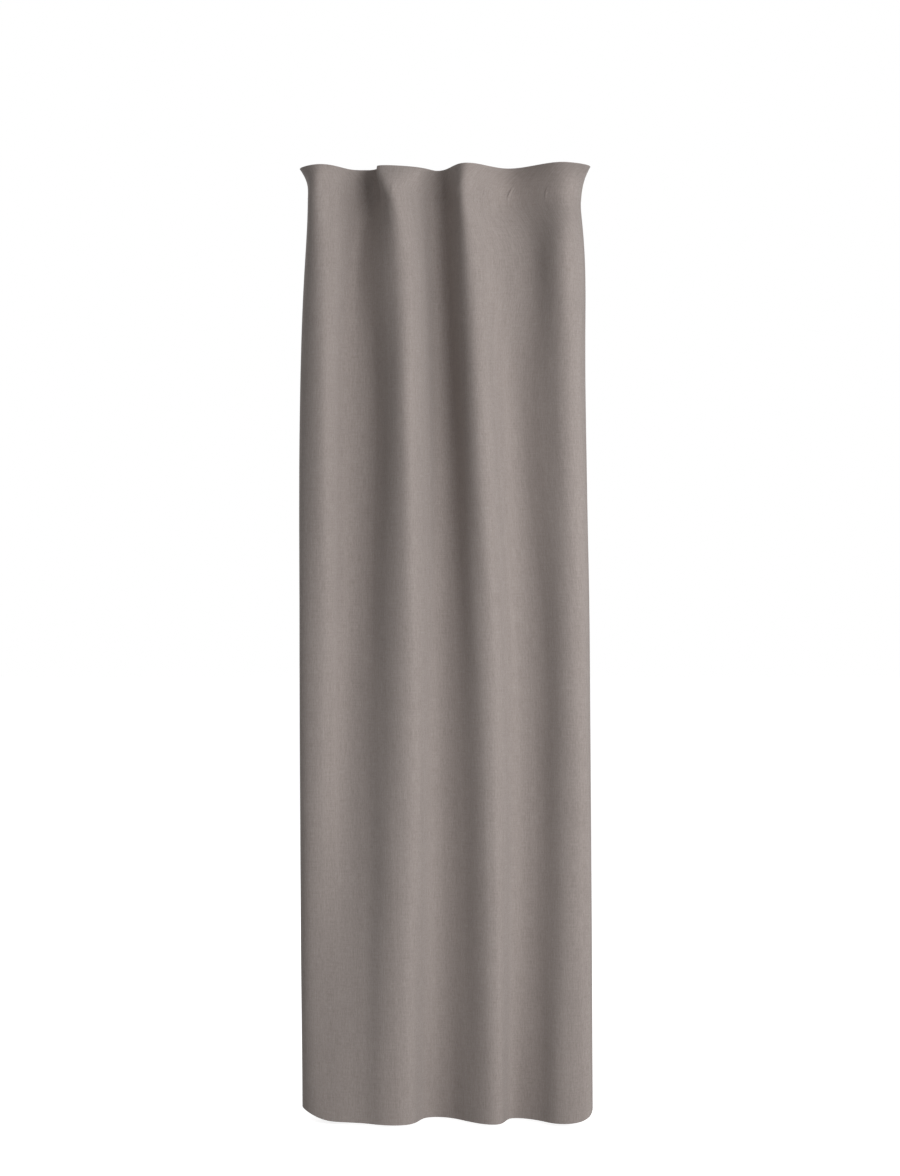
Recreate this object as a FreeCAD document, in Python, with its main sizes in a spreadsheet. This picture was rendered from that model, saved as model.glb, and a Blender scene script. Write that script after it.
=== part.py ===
import FreeCAD, Part
import Sketcher
import os

# A fabric room curtain panel as it hangs from its rail. The origin is on the hang line, midway
# along the heading. +X runs to the leading edge, +Y to the wall and +Z up. Millimetres.

doc = FreeCAD.newDocument("curtainPanel")
sheet = doc.addObject("Spreadsheet::Sheet", "Sizes")

SIZES = {
    # the hanging panel
    "panelDrop": 2500,
    "headingRise": 40,
    "foldDepth": 112,
    "hookFace": 11.9,
    # the cloth and what is sewn to it
    "clothThickness": 1.0,
    "layerGap": 0.3,
    "hemThickness": 1.4,
    "sideHemWidth": 28,
    "bottomHemDepth": 85,
    "headingTurnDepth": 9,
    "tapeWidth": 75,
    "tapeThickness": 1.0,
    "cordThickness": 1.4,
    "upperCordInset": 12,
    "lowerCordInset": 6,
    "knotRadius": 2.4,
    "threadWidth": 0.8,
    "threadHeight": 0.4,
    "stitchInset": 2.5,
    "labelWidth": 28,
    "labelDepth": 52,
    "labelThickness": 0.4,
    "labelRise": 260,
    # the woven pockets and the hooks in them
    "pocketWidth": 14,
    "pocketHeight": 6,
    "pocketDrop": 31,
    "footWidth": 2.4,
    "footDepth": 4.25,
    "bandThickness": 0.8,
    "bandSetback": 6.45,
    "hookRodRadius": 1.1,
    "crookRadius": 4.4,
    "prongLength": 9,
    "tailLength": 5,
    "hookSlack": 0.2,
}
for row, (name, value) in enumerate(SIZES.items(), start=1):
    sheet.set("A%d" % row, name)
    sheet.set("B%d" % row, str(value))
    sheet.setAlias("B%d" % row, name)
doc.recompute()


def size(name):
    return float(sheet.get(name))


def bind(obj, expressions):
    """Binds each property of obj to an expression, in which a size is written as $name."""
    for path, words in expressions.items():
        obj.setExpression(path, words.replace("$", "Sizes."))


# ---- the drape ---------------------------------------------------------------------------------
# The line of the cloth's rear face, seen from above, at seven drops below the hang line. A point is
# x and its forwardness, 0 on the side of the rail and 1 on the side of the room. Both ends curl back
# behind the first folds. At 31 mm the rearward turns just reach the hooks.

DRAPE = {
    -40: [
        (-318, 0.08), (-350, 0.08), (-416, 0.02), (-320, 1.32), (-254, 0.04), (-215, 0.12),
        (-184, 0.05), (-154, 0.99), (-50, 0.4), (-28, -0.1), (4, 0.12), (34, 1.16), (82, 1.04),
        (147, 0.21), (199, 0.34), (281, 1.24), (331, 1.14), (404, 0.56), (352, 0.06), (322, 0.06),
    ],
    31: [
        (-304, 0), (-330, 0), (-362, 0), (-363, 0.82), (-313, 0.96), (-232.3, -0.0469),
        (-164.3, -0.0469), (-166, 1.22), (-99, 1.21), (-49.9, -0.0494), (18.1, -0.0494), (26, 1.07),
        (70, 1.02), (135.1, -0.0389), (203.1, -0.0389), (305, 0.79), (350, 0.46), (366, 0),
        (330, 0), (304, 0),
    ],
    90: [
        (-306, 0), (-334, 0), (-364, 0.04), (-364, 0.81), (-307, 1.01), (-242, -0.05),
        (-188, -0.03), (-151, 1.25), (-88, 1.06), (-49, -0.05), (12, -0.07), (32, 1.06), (78, 0.94),
        (125, 0.25), (216, 0.15), (286, 0.86), (334, 0.88), (373, 0.24), (334, 0), (306, 0),
    ],
    400: [
        (-320, -0.02), (-356, -0.05), (-393, 0.1), (-357, 0.74), (-297, 0.93), (-269, 0.08),
        (-195, 0.11), (-134, 1.13), (-71, 1.11), (-36, -0.15), (23, -0.03), (41, 0.92), (101, 1.06),
        (137, 0.29), (228, 0.29), (284, 0.93), (337, 1.06), (381, 0.32), (352, 0), (322, -0.05),
    ],
    1050: [
        (-330, -0.18), (-372, -0.2), (-389, 0.22), (-380, 0.62), (-293, 0.91), (-276, 0.09),
        (-193, 0.23), (-142, 0.97), (-62, 1.19), (-39, 0.12), (34, 0.28), (68, 0.98), (135, 1.14),
        (167, 0.27), (246, 0.34), (296, 0.91), (359, 1.02), (384, 0.33), (366, -0.04), (306, -0.2),
    ],
    1800: [
        (-326, -0.44), (-364, -0.46), (-386, -0.12), (-382, 0.36), (-320, 0.49), (-278, 0.36),
        (-196, 0.57), (-152, 1.03), (-65, 1.21), (-51, 0.26), (31, 0.31), (82, 0.94), (153, 1.1),
        (167, 0.25), (253, 0.31), (300, 0.87), (368, 0.9), (388, 0.6), (380, -0.04), (296, -0.28),
    ],
    2460: [
        (-326, -0.5), (-360, -0.52), (-382, -0.2), (-379, 0.22), (-322, 0.52), (-273, 0.64),
        (-204, 0.75), (-169, 0.98), (-75, 1), (-66, 0.04), (20, 0.11), (73, 0.77), (155, 1.06),
        (157, 0.02), (245, 0.4), (287, 0.92), (362, 0.95), (392, 0.78), (384, -0.04), (300, -0.3),
    ],
}
# how far the points of the lowest line ride up, by their place in it: the two bottom corners
HEM_RISE = {0: 26, 1: 26, 2: 26, 3: 26, 4: 0, 16: 5, 17: 34, 18: 52, 19: 52}
HOOK_X = {"a": -322, "b": -202, "c": -16, "d": 172, "e": 322}


def drapeSurface():
    """The rear face: a B-spline across the width at each drop, run smoothly from drop to drop."""
    drops = sorted(DRAPE)
    below_top = [drop + size("headingRise") for drop in drops]
    count = len(DRAPE[drops[0]])
    columns = []
    for i in range(count):
        line = []
        for drop in drops:
            x, forward = DRAPE[drop][i]
            y = -size("hookFace") - forward * size("foldDepth")
            rise = HEM_RISE.get(i, 0) if drop == drops[-1] else 0
            line.append(FreeCAD.Vector(x, y, rise - drop))
        column = Part.BSplineCurve()
        column.interpolate(Points=line, Parameters=below_top)
        columns.append(column)
    spans = count - 3
    surface = Part.BSplineSurface()
    surface.buildFromPolesMultsKnots(
        [column.getPoles() for column in columns],
        [4] + [1] * (spans - 1) + [4],
        columns[0].getMultiplicities(),
        [float(knot) for knot in range(spans + 1)],
        columns[0].getKnots(),
        False, False, 3, columns[0].Degree,
    )
    return surface


drape = drapeSurface()
ACROSS_END = drape.bounds()[1]
DROP_END = size("panelDrop")


def across(distance, below_top):
    """The surface parameter at a distance along the cloth from its left edge, or from its right."""
    line = drape.vIso(below_top)
    start = 0.0 if distance >= 0 else ACROSS_END
    return line.parameterAtDistance(distance, start)


def layer(name, left, right, top, bottom, lift, thickness):
    """A sewn layer: the stretch of the drape between two parameters across and two drops below the
    top edge, from lift to lift + thickness behind the cloth's rear face."""
    patch = drape.copy()
    patch.segment(left, right, top, bottom)
    face = patch.toShape()
    if lift:
        face = face.makeOffsetShape(lift, 0.01)
    obj = doc.addObject("Part::Feature", name)
    obj.Shape = face.makeOffsetShape(thickness, 0.01, fill=True)
    obj.Placement = FreeCAD.Placement()
    return obj


def point_behind(u, v, lift):
    """A point lift behind the rear face."""
    return drape.value(u, v) + drape.normal(u, v) * lift


# ---- the cloth, its turned edges and the heading tape -----------------------------------------------

gap = size("layerGap")
tape_top = size("headingTurnDepth") + 1
tape_bottom = tape_top + size("tapeWidth")
middle_drop = DROP_END / 2
hem_left = across(size("sideHemWidth"), middle_drop)
hem_right = across(-size("sideHemWidth"), middle_drop)
hem_top = DROP_END - size("bottomHemDepth")
EDGE = 0.01  # the share of a parameter span that sewn layers keep back from the cloth's cut edges

nodes = [layer("face_cloth", 0.0, ACROSS_END, 0.0, DROP_END, 0, -size("clothThickness"))]
nodes.append(layer("heading_turn", EDGE, ACROSS_END - EDGE, 0.5, size("headingTurnDepth"),
                   gap, size("hemThickness")))
nodes.append(layer("heading_tape", EDGE, ACROSS_END - EDGE, tape_top, tape_bottom,
                   gap, size("tapeThickness")))
nodes.append(layer("side_hem_left", EDGE, hem_left, tape_bottom + 1, DROP_END - 0.5,
                   gap, size("hemThickness")))
nodes.append(layer("side_hem_right", hem_right, ACROSS_END - EDGE, tape_bottom + 1, DROP_END - 0.5,
                   gap, size("hemThickness")))
nodes.append(layer("bottom_hem", hem_left + EDGE, hem_right - EDGE, hem_top, DROP_END - 0.5,
                   gap, size("hemThickness")))

# ---- the rows of stitching, each a raised line of thread ----------------------------------------

on_hem = gap + size("hemThickness") + 0.05
on_tape = gap + size("tapeThickness") + 0.05
inset = size("stitchInset")
half_thread = size("threadWidth") / 2
thread = size("threadHeight")


def stitch_across(name, left, right, below_top, lift):
    return layer(name, left, right, below_top - half_thread, below_top + half_thread, lift, thread)


def stitch_down(name, distance, top, bottom, lift):
    side = 1 if distance > 0 else -1
    ends = sorted(across(distance + side * d, middle_drop) for d in (-half_thread, half_thread))
    return layer(name, ends[0], ends[1], top, bottom, lift, thread)


hem_line = size("sideHemWidth") - inset
nodes.append(stitch_across("tape_stitching_upper", 2 * EDGE, ACROSS_END - 2 * EDGE,
                           tape_top + inset, on_tape))
nodes.append(stitch_across("tape_stitching_lower", 2 * EDGE, ACROSS_END - 2 * EDGE,
                           tape_bottom - inset, on_tape))
nodes.append(stitch_down("side_stitching_left", hem_line, tape_bottom + 4, DROP_END - 4, on_hem))
nodes.append(stitch_down("side_stitching_right", -hem_line, tape_bottom + 4, DROP_END - 4, on_hem))
nodes.append(stitch_across("bottom_hem_stitching", hem_left + 2 * EDGE, hem_right - 2 * EDGE,
                           hem_top + inset, on_hem))

# ---- the draw cords in the tape and the knots that keep their ends --------------------------------

cord = size("cordThickness")
cord_lift = gap + size("tapeThickness") + gap
CORD_DROPS = {
    "upper": tape_top + size("upperCordInset"),
    "lower": tape_bottom - size("lowerCordInset"),
}
for row, below_top in CORD_DROPS.items():
    left = across(12, below_top)
    right = across(-12, below_top)
    nodes.append(layer("draw_cord_" + row, left, right, below_top - cord / 2, below_top + cord / 2,
                       cord_lift, cord))
    for side, distance in (("left", 9.4), ("right", -9.4)):
        knot = doc.addObject("Part::Sphere", "cord_knot_%s_%s" % (row, side))
        bind(knot, {"Radius": "$knotRadius"})
        spot = point_behind(across(distance, below_top), below_top, cord_lift + size("knotRadius"))
        knot.Placement = FreeCAD.Placement(spot, FreeCAD.Rotation())
        nodes.append(knot)

# ---- the care label, sewn in behind the edge of the left hem --------------------------------------

label_top = hem_top - size("labelRise")
nodes.append(layer("care_label", across(size("sideHemWidth") + 2, middle_drop),
                   across(size("sideHemWidth") + 2 + size("labelWidth"), middle_drop),
                   label_top, label_top + size("labelDepth"), gap, size("labelThickness")))


# ---- the woven pockets: a raised band on two feet, open above and below ----------------------------


def origin_plane(body, role):
    return next(f for f in body.Origin.OriginFeatures if f.Role == role)


def closed_outline(sketch, corners):
    """Straight edges round the corners, level and upright by turns, starting with a level one."""
    points = [FreeCAD.Vector(x, y, 0) for x, y in corners]
    count = len(points)
    for i in range(count):
        sketch.addGeometry(Part.LineSegment(points[i], points[(i + 1) % count]))
    for i in range(count):
        sketch.addConstraint(Sketcher.Constraint("Coincident", i, 2, (i + 1) % count, 1))
        sketch.addConstraint(Sketcher.Constraint("Vertical" if i % 2 else "Horizontal", i))


def dimension(sketch, name, kind, ends, expression):
    """A named distance between two points, bound to an expression in the sizes."""
    index = sketch.addConstraint(Sketcher.Constraint(kind, *ends, 1.0))
    sketch.renameConstraint(index, name)
    bind(sketch, {"Constraints." + name: expression})


ORIGIN = (-1, 1)


def hook_pocket(name, x):
    body = doc.addObject("PartDesign::Body", name)
    sketch = body.newObject("Sketcher::SketchObject", name + "_outline")
    sketch.AttachmentSupport = (origin_plane(body, "XY_Plane"), "")
    sketch.MapMode = "FlatFace"
    half = size("pocketWidth") / 2
    inner = half - size("footWidth")
    rear = size("bandThickness") / 2
    foot = rear - size("footDepth")
    closed_outline(sketch, [(-half, foot), (-inner, foot), (-inner, -rear), (inner, -rear),
                            (inner, foot), (half, foot), (half, rear), (-half, rear)])
    dimension(sketch, "halfWidth", "DistanceX", (*ORIGIN, 6, 1), "$pocketWidth / 2")
    dimension(sketch, "width", "DistanceX", (6, 2, 6, 1), "$pocketWidth")
    dimension(sketch, "leftFoot", "DistanceX", (0, 1, 0, 2), "$footWidth")
    dimension(sketch, "rightFoot", "DistanceX", (4, 1, 4, 2), "$footWidth")
    dimension(sketch, "leftDepth", "DistanceY", (0, 1, 6, 2), "$footDepth")
    dimension(sketch, "rightDepth", "DistanceY", (4, 2, 6, 1), "$footDepth")
    dimension(sketch, "band", "DistanceY", (2, 1, 6, 2), "$bandThickness")
    dimension(sketch, "setBack", "DistanceY", (*ORIGIN, 6, 1), "$bandThickness / 2")
    pad = body.newObject("PartDesign::Pad", name + "_band")
    pad.Profile = sketch
    pad.SideType = "Symmetric"
    bind(pad, {"Length": "$pocketHeight"})
    body.Placement = FreeCAD.Placement(FreeCAD.Vector(x, 0, 0), FreeCAD.Rotation())
    bind(body, {"Placement.Base.y": "-$bandSetback", "Placement.Base.z": "-$pocketDrop"})
    return body


# ---- the hooks: a bent rod, its prong up through the pocket and its crook over the rail's eye -----

Y_TO_Z = FreeCAD.Rotation(FreeCAD.Vector(0, 1, 0), FreeCAD.Vector(0, 0, 1),
                          FreeCAD.Vector(1, 0, 0), "XYZ")
Y_TO_MINUS_Z = FreeCAD.Rotation(FreeCAD.Vector(0, -1, 0), FreeCAD.Vector(0, 0, -1),
                                FreeCAD.Vector(1, 0, 0), "XYZ")
PRONG_Y = "-(2 * $bandSetback - $crookRadius)"
BEND_Z = "-$pocketDrop - $pocketHeight / 2 + $hookSlack"


def primitive(kind, name, turn, expressions):
    obj = doc.addObject("Part::" + kind, name)
    obj.Placement = FreeCAD.Placement(FreeCAD.Vector(), turn)
    bind(obj, expressions)
    return obj


def curtain_hook(name, x):
    straight = FreeCAD.Rotation()
    crook = primitive("Torus", name + "_crook", Y_TO_Z, {
        "Radius1": "$crookRadius", "Radius2": "$hookRodRadius"})
    bend = primitive("Torus", name + "_bend", Y_TO_MINUS_Z, {
        "Radius1": "$bandSetback - $crookRadius", "Radius2": "$hookRodRadius",
        "Placement.Base.y": "-$bandSetback", "Placement.Base.z": BEND_Z})
    crook.Angle3 = 180
    bend.Angle3 = 180
    leg = primitive("Cylinder", name + "_leg", straight, {
        "Radius": "$hookRodRadius", "Height": "-(%s)" % BEND_Z,
        "Placement.Base.y": "-$crookRadius", "Placement.Base.z": BEND_Z})
    prong = primitive("Cylinder", name + "_prong", straight, {
        "Radius": "$hookRodRadius", "Height": "$prongLength",
        "Placement.Base.y": PRONG_Y, "Placement.Base.z": BEND_Z})
    tail = primitive("Cylinder", name + "_tail", straight, {
        "Radius": "$hookRodRadius", "Height": "$tailLength",
        "Placement.Base.y": "$crookRadius", "Placement.Base.z": "-$tailLength"})
    prong_tip = primitive("Sphere", name + "_prong_tip", straight, {
        "Radius": "$hookRodRadius", "Placement.Base.y": PRONG_Y,
        "Placement.Base.z": BEND_Z + " + $prongLength"})
    tail_tip = primitive("Sphere", name + "_tail_tip", straight, {
        "Radius": "$hookRodRadius", "Placement.Base.y": "$crookRadius",
        "Placement.Base.z": "-$tailLength"})
    hook = doc.addObject("Part::MultiFuse", name)
    hook.Shapes = [crook, bend, leg, prong, tail, prong_tip, tail_tip]
    hook.Placement = FreeCAD.Placement(FreeCAD.Vector(x, 0, 0), straight)
    return hook


for letter, x in HOOK_X.items():
    nodes.append(hook_pocket("hook_pocket_" + letter, x))
    nodes.append(curtain_hook("curtain_hook_" + letter, x))

# ---- checks and files ------------------------------------------------------------------------------

doc.recompute()
failed = [o.Name for o in doc.Objects if "Invalid" in o.State or "Error" in o.State]
if failed:
    raise RuntimeError("failed to compute: " + ", ".join(failed))
os.makedirs("parts", exist_ok=True)
for node in nodes:
    shape = node.Shape
    if shape.isNull() or not shape.isValid() or len(shape.Solids) != 1:
        raise RuntimeError(node.Label + " is not one valid solid")
    shape.exportStep("parts/%s.step" % node.Label)
    print("%-24s %9.2f cm3" % (node.Label, shape.Volume / 1000))

for words, below_top in (("top", 0.0), ("hooks", 71.0), ("middle", middle_drop), ("hem", DROP_END)):
    print("cloth along the %s: %.0f mm" % (words, drape.vIso(below_top).length()))
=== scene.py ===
import math
import random
import bpy
import bmesh
import numpy as np
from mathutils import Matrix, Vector


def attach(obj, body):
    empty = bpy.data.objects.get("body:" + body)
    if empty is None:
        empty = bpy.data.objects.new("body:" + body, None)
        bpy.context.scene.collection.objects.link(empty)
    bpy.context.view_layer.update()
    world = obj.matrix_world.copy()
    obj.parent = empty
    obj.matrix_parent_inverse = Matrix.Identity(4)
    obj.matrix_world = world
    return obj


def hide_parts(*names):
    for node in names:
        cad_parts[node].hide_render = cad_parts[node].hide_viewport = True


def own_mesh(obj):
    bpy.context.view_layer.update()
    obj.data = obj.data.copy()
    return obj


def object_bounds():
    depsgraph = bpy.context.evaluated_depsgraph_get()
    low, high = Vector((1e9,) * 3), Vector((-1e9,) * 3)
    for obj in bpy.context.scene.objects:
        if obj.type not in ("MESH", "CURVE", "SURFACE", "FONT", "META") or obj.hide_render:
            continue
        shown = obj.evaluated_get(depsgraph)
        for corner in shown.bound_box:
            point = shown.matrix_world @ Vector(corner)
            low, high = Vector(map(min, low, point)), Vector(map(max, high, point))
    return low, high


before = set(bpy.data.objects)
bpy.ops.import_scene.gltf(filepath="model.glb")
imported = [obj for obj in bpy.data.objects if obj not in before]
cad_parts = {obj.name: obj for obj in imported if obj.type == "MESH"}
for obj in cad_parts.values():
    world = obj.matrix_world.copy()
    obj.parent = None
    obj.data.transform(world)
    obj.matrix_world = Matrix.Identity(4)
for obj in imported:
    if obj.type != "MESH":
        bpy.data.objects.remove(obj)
cadLow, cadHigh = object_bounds()
bpy.ops.object.select_all(action="DESELECT")
scene = bpy.context.scene
print("frame loaded", [round(v, 3) for v in cadHigh - cadLow])

# the line of the cloth's rear face, seen from above, at seven drops below the hang line: every point is
# x in mm and how far forward, from 0 on the side of the rail to 1 on the side of the room
drape = {"foldDepth": 0.112, "hookFace": 0.0119, "topRise": 0.040, "drop": 2.500, "lineSteps": 1400}
foldLines = {
    -40: [
        (-318, 0.08), (-350, 0.08), (-416, 0.02), (-320, 1.32), (-254, 0.04), (-215, 0.12), (-184, 0.05),
        (-154, 0.99), (-50, 0.4), (-28, -0.1), (4, 0.12), (34, 1.16), (82, 1.04), (147, 0.21), (199, 0.34),
        (281, 1.24), (331, 1.14), (404, 0.56), (352, 0.06), (322, 0.06),
    ],
    31: [
        (-304, 0), (-330, 0), (-362, 0), (-363, 0.82), (-313, 0.96), (-232.3, -0.0469), (-164.3, -0.0469),
        (-166, 1.22), (-99, 1.21), (-49.9, -0.0494), (18.1, -0.0494), (26, 1.07), (70, 1.02),
        (135.1, -0.0389), (203.1, -0.0389), (305, 0.79), (350, 0.46), (366, 0), (330, 0), (304, 0),
    ],
    90: [
        (-306, 0), (-334, 0), (-364, 0.04), (-364, 0.81), (-307, 1.01), (-242, -0.05), (-188, -0.03),
        (-151, 1.25), (-88, 1.06), (-49, -0.05), (12, -0.07), (32, 1.06), (78, 0.94), (125, 0.25),
        (216, 0.15), (286, 0.86), (334, 0.88), (373, 0.24), (334, 0), (306, 0),
    ],
    400: [
        (-320, -0.02), (-356, -0.05), (-393, 0.1), (-357, 0.74), (-297, 0.93), (-269, 0.08), (-195, 0.11),
        (-134, 1.13), (-71, 1.11), (-36, -0.15), (23, -0.03), (41, 0.92), (101, 1.06), (137, 0.29),
        (228, 0.29), (284, 0.93), (337, 1.06), (381, 0.32), (352, 0), (322, -0.05),
    ],
    1050: [
        (-330, -0.18), (-372, -0.2), (-389, 0.22), (-380, 0.62), (-293, 0.91), (-276, 0.09), (-193, 0.23),
        (-142, 0.97), (-62, 1.19), (-39, 0.12), (34, 0.28), (68, 0.98), (135, 1.14), (167, 0.27),
        (246, 0.34), (296, 0.91), (359, 1.02), (384, 0.33), (366, -0.04), (306, -0.2),
    ],
    1800: [
        (-326, -0.44), (-364, -0.46), (-386, -0.12), (-382, 0.36), (-320, 0.49), (-278, 0.36), (-196, 0.57),
        (-152, 1.03), (-65, 1.21), (-51, 0.26), (31, 0.31), (82, 0.94), (153, 1.1), (167, 0.25),
        (253, 0.31), (300, 0.87), (368, 0.9), (388, 0.6), (380, -0.04), (296, -0.28),
    ],
    2460: [
        (-326, -0.5), (-360, -0.52), (-382, -0.2), (-379, 0.22), (-322, 0.52), (-273, 0.64), (-204, 0.75),
        (-169, 0.98), (-75, 1), (-66, 0.04), (20, 0.11), (73, 0.77), (155, 1.06), (157, 0.02), (245, 0.4),
        (287, 0.92), (362, 0.95), (392, 0.78), (384, -0.04), (300, -0.3),
    ],
}
# how far each point of the lowest line is lifted, in mm: both bottom corners of the panel ride up
hemRise = {0: 26, 1: 26, 2: 26, 3: 26, 4: 0, 16: 5, 17: 34, 18: 52, 19: 52}

cloth = {"width": 1.250, "thickness": 0.0005}


def basis(count, at):
    # the weight of each control point of a clamped cubic B-spline, at parameters from 0 to count - 3
    knots = np.concatenate([[0] * 3, np.arange(count - 2), [count - 3] * 3]).astype(float)
    t = np.clip(np.asarray(at, float), 0, count - 3 - 1e-9)[:, None]
    w = ((knots[:-1] <= t) & (t < knots[1:])).astype(float)
    for k in (1, 2, 3):
        rise, fall = knots[k:-1] - knots[:-k - 1], knots[k + 1:] - knots[1:-k]
        rise, fall = np.where(rise > 0, rise, np.inf), np.where(fall > 0, fall, np.inf)
        w = (t - knots[:-k - 1]) / rise * w[:, :-1] + (knots[k + 1:] - t) / fall * w[:, 1:]
    return w


def linesAt(belowTop):
    # the control points of the cloth's line at any distance below its top edge, eased from line to line
    drops = sorted(foldLines)
    at = np.array(drops) / 1000 + drape["topRise"]
    given = np.array([[(x / 1000, -drape["hookFace"] - forward * drape["foldDepth"], -drop / 1000)
                       for x, forward in foldLines[drop]] for drop in drops])
    for point, lift in hemRise.items():
        given[-1, point, 2] += lift / 1000
    n, h = len(at), np.diff(at)
    slopes = [np.polyfit(at[part] - at[end], given[part].reshape(4, -1), 3)[-2].reshape(given.shape[1:])
              for part, end in ((slice(0, 4), 0), (slice(-4, None), -1))]
    a, r = np.zeros((n, n)), np.zeros_like(given)
    a[0, :2], a[-1, -2:] = (2 * h[0], h[0]), (h[-1], 2 * h[-1])
    r[0] = 6 * ((given[1] - given[0]) / h[0] - slopes[0])
    r[-1] = 6 * (slopes[1] - (given[-1] - given[-2]) / h[-1])
    for i in range(1, n - 1):
        a[i, i - 1:i + 2] = h[i - 1], 2 * (h[i - 1] + h[i]), h[i]
        r[i] = 6 * ((given[i + 1] - given[i]) / h[i] - (given[i] - given[i - 1]) / h[i - 1])
    bends = np.linalg.solve(a, r.reshape(n, -1)).reshape(r.shape)
    i = np.clip(np.searchsorted(at, belowTop, side="right") - 1, 0, n - 2)
    before, after = (belowTop - at[i])[:, None, None], (at[i + 1] - belowTop)[:, None, None]
    gap = h[i][:, None, None]
    upper, lower = (given[k] / gap - bends[k] * gap / 6 for k in (i, i + 1))
    return (bends[i] * after ** 3 + bends[i + 1] * before ** 3) / (6 * gap) + upper * after + lower * before


def drapedGrid(columns, rows):
    # points of the cloth's rear face, evenly spaced along the cloth in each row
    down = np.linspace(0, drape["drop"], rows)
    lines = linesAt(down)
    dense = basis(lines.shape[1], np.linspace(0, lines.shape[1] - 3, drape["lineSteps"]))
    grid = np.zeros((rows, columns, 3))
    for i, points in enumerate(lines):
        line = dense @ points
        along = np.concatenate([[0], np.cumsum(np.linalg.norm(np.diff(line, axis=0), axis=1))])
        even = np.linspace(0, along[-1], columns)
        grid[i] = np.stack([np.interp(even, along, line[:, axis]) for axis in range(3)], 1)
    return grid


# the camera stands level, straight in front; its distance is from the nearest fold
camera = {"distance": 6.0, "nearestFold": -0.1265, "aimX": 0.0117, "aimZ": -1.0633, "frameHeight": 3.053,
          "sensor": 36.0, "farthest": 200}

standing = (camera["aimX"], camera["nearestFold"] - camera["distance"], camera["aimZ"])
bpy.ops.object.camera_add(location=standing, rotation=(math.pi / 2, 0, 0))
viewer = bpy.context.object
viewer.name = "camera"
viewer.data.sensor_width = camera["sensor"]
viewer.data.lens = camera["sensor"] * camera["distance"] / camera["frameHeight"]
viewer.data.clip_end = camera["farthest"]
scene.camera = viewer
scene.view_settings.view_transform = "Standard"

# the lamps stand round the room side; angle is seen from above, 0 straight in front and 90 at the right
studio = {
    "ambient": 0.41, "backdrop": 1.0,
    "floorWidth": 60, "floorGap": 0.010, "floorPaint": 0.42, "floorSeen": 0.85, "floorGlow": 0.69,
    "floorRoughness": 0.9,
    "lamps": {
        "keyLamp": {"angle": 30, "distance": 5.0, "height": -0.55, "wide": 1.75, "tall": 2.4, "watts": 124},
        "sideLamp": {"angle": 55, "distance": 5.0, "height": -0.45, "wide": 2.6, "tall": 2.4, "watts": 84},
        "backLamp": {"angle": 212, "distance": 5.0, "height": -0.2, "wide": 2.6, "tall": 2.6, "watts": 70},
    },
    "aimAt": (0.0, 0.0, -0.95),
}


def wire(tree, value, socket):
    # joins an output to an input, or sets the input where the value is a plain one
    if isinstance(value, bpy.types.NodeSocket):
        tree.links.new(value, socket)
    else:
        socket.default_value = value


def node(tree, kind, settings=None, **values):
    # a node with its settings made and its named inputs wired
    made = tree.nodes.new(kind)
    for name, setting in (settings or {}).items():
        setattr(made, name, setting)
    for name, value in values.items():
        wire(tree, value, made.inputs[name.replace("_", " ")])
    return made


def lampAt(name, lamp):
    angle, distance = math.radians(lamp["angle"]), lamp["distance"]
    place = Vector((math.sin(angle) * distance, -math.cos(angle) * distance, lamp["height"]))
    turn = (Vector(studio["aimAt"]) - place).to_track_quat("-Z", "Y").to_euler()
    bpy.ops.object.light_add(type="AREA", location=place, rotation=turn)
    bpy.context.object.name = name
    light = bpy.context.object.data
    light.shape = "RECTANGLE"
    light.size, light.size_y, light.energy = lamp["wide"], lamp["tall"], lamp["watts"]


def seenOrLit(tree, lit, seen, output):
    # one shader for what the camera sees directly, and another for all the light that comes from it
    ray = node(tree, "ShaderNodeLightPath").outputs["Is Camera Ray"]
    blend = node(tree, "ShaderNodeMixShader", Fac=ray)
    wire(tree, lit.outputs[0], blend.inputs[1])
    wire(tree, seen.outputs[0], blend.inputs[2])
    wire(tree, blend.outputs[0], node(tree, output).inputs["Surface"])


for name, lamp in studio["lamps"].items():
    lampAt(name, lamp)

world = bpy.data.worlds.new("studioLight")
world.use_nodes = True
scene.world = world
tree = world.node_tree
tree.nodes.clear()
ambient, backdrop = (node(tree, "ShaderNodeBackground", Color=(1, 1, 1, 1), Strength=studio[part])
                     for part in ("ambient", "backdrop"))
seenOrLit(tree, ambient, backdrop, "ShaderNodeOutputWorld")

bpy.ops.mesh.primitive_plane_add(size=studio["floorWidth"], location=(0, 0, cadLow[2] - studio["floorGap"]))
floor = bpy.context.object
floor.name = "floor"
floorPaint = bpy.data.materials.new("floorPaint")
floorPaint.use_nodes = True
tree = floorPaint.node_tree
tree.nodes.clear()
paint, white = (node(tree, "ShaderNodeBsdfPrincipled", Base_Color=(studio[part],) * 3 + (1,),
                     Roughness=studio["floorRoughness"]) for part in ("floorPaint", "floorSeen"))
glow = node(tree, "ShaderNodeEmission", Color=(1, 1, 1, 1), Strength=studio["floorGlow"])
bright = node(tree, "ShaderNodeAddShader")
wire(tree, white.outputs[0], bright.inputs[0])
wire(tree, glow.outputs[0], bright.inputs[1])
seenOrLit(tree, paint, bright, "ShaderNodeOutputMaterial")
floor.data.materials.append(floorPaint)
print("camera, lamps and floor made")


# patterns that several materials share
def calc(tree, operation, *values):
    made = node(tree, "ShaderNodeMath", {"operation": operation})
    for value, socket in zip(values, made.inputs):
        wire(tree, value, socket)
    return made.outputs[0]


def times(tree, value, other):
    return calc(tree, "MULTIPLY", value, other)


def added(tree, value, share, start):
    # a share of a value, added to a start
    return calc(tree, "MULTIPLY_ADD", value, share, start)


def noise(tree, vector, scale, detail, roughness):
    return node(tree, "ShaderNodeTexNoise", Vector=vector, Scale=scale, Detail=detail,
                Roughness=roughness).outputs["Fac"]


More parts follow.
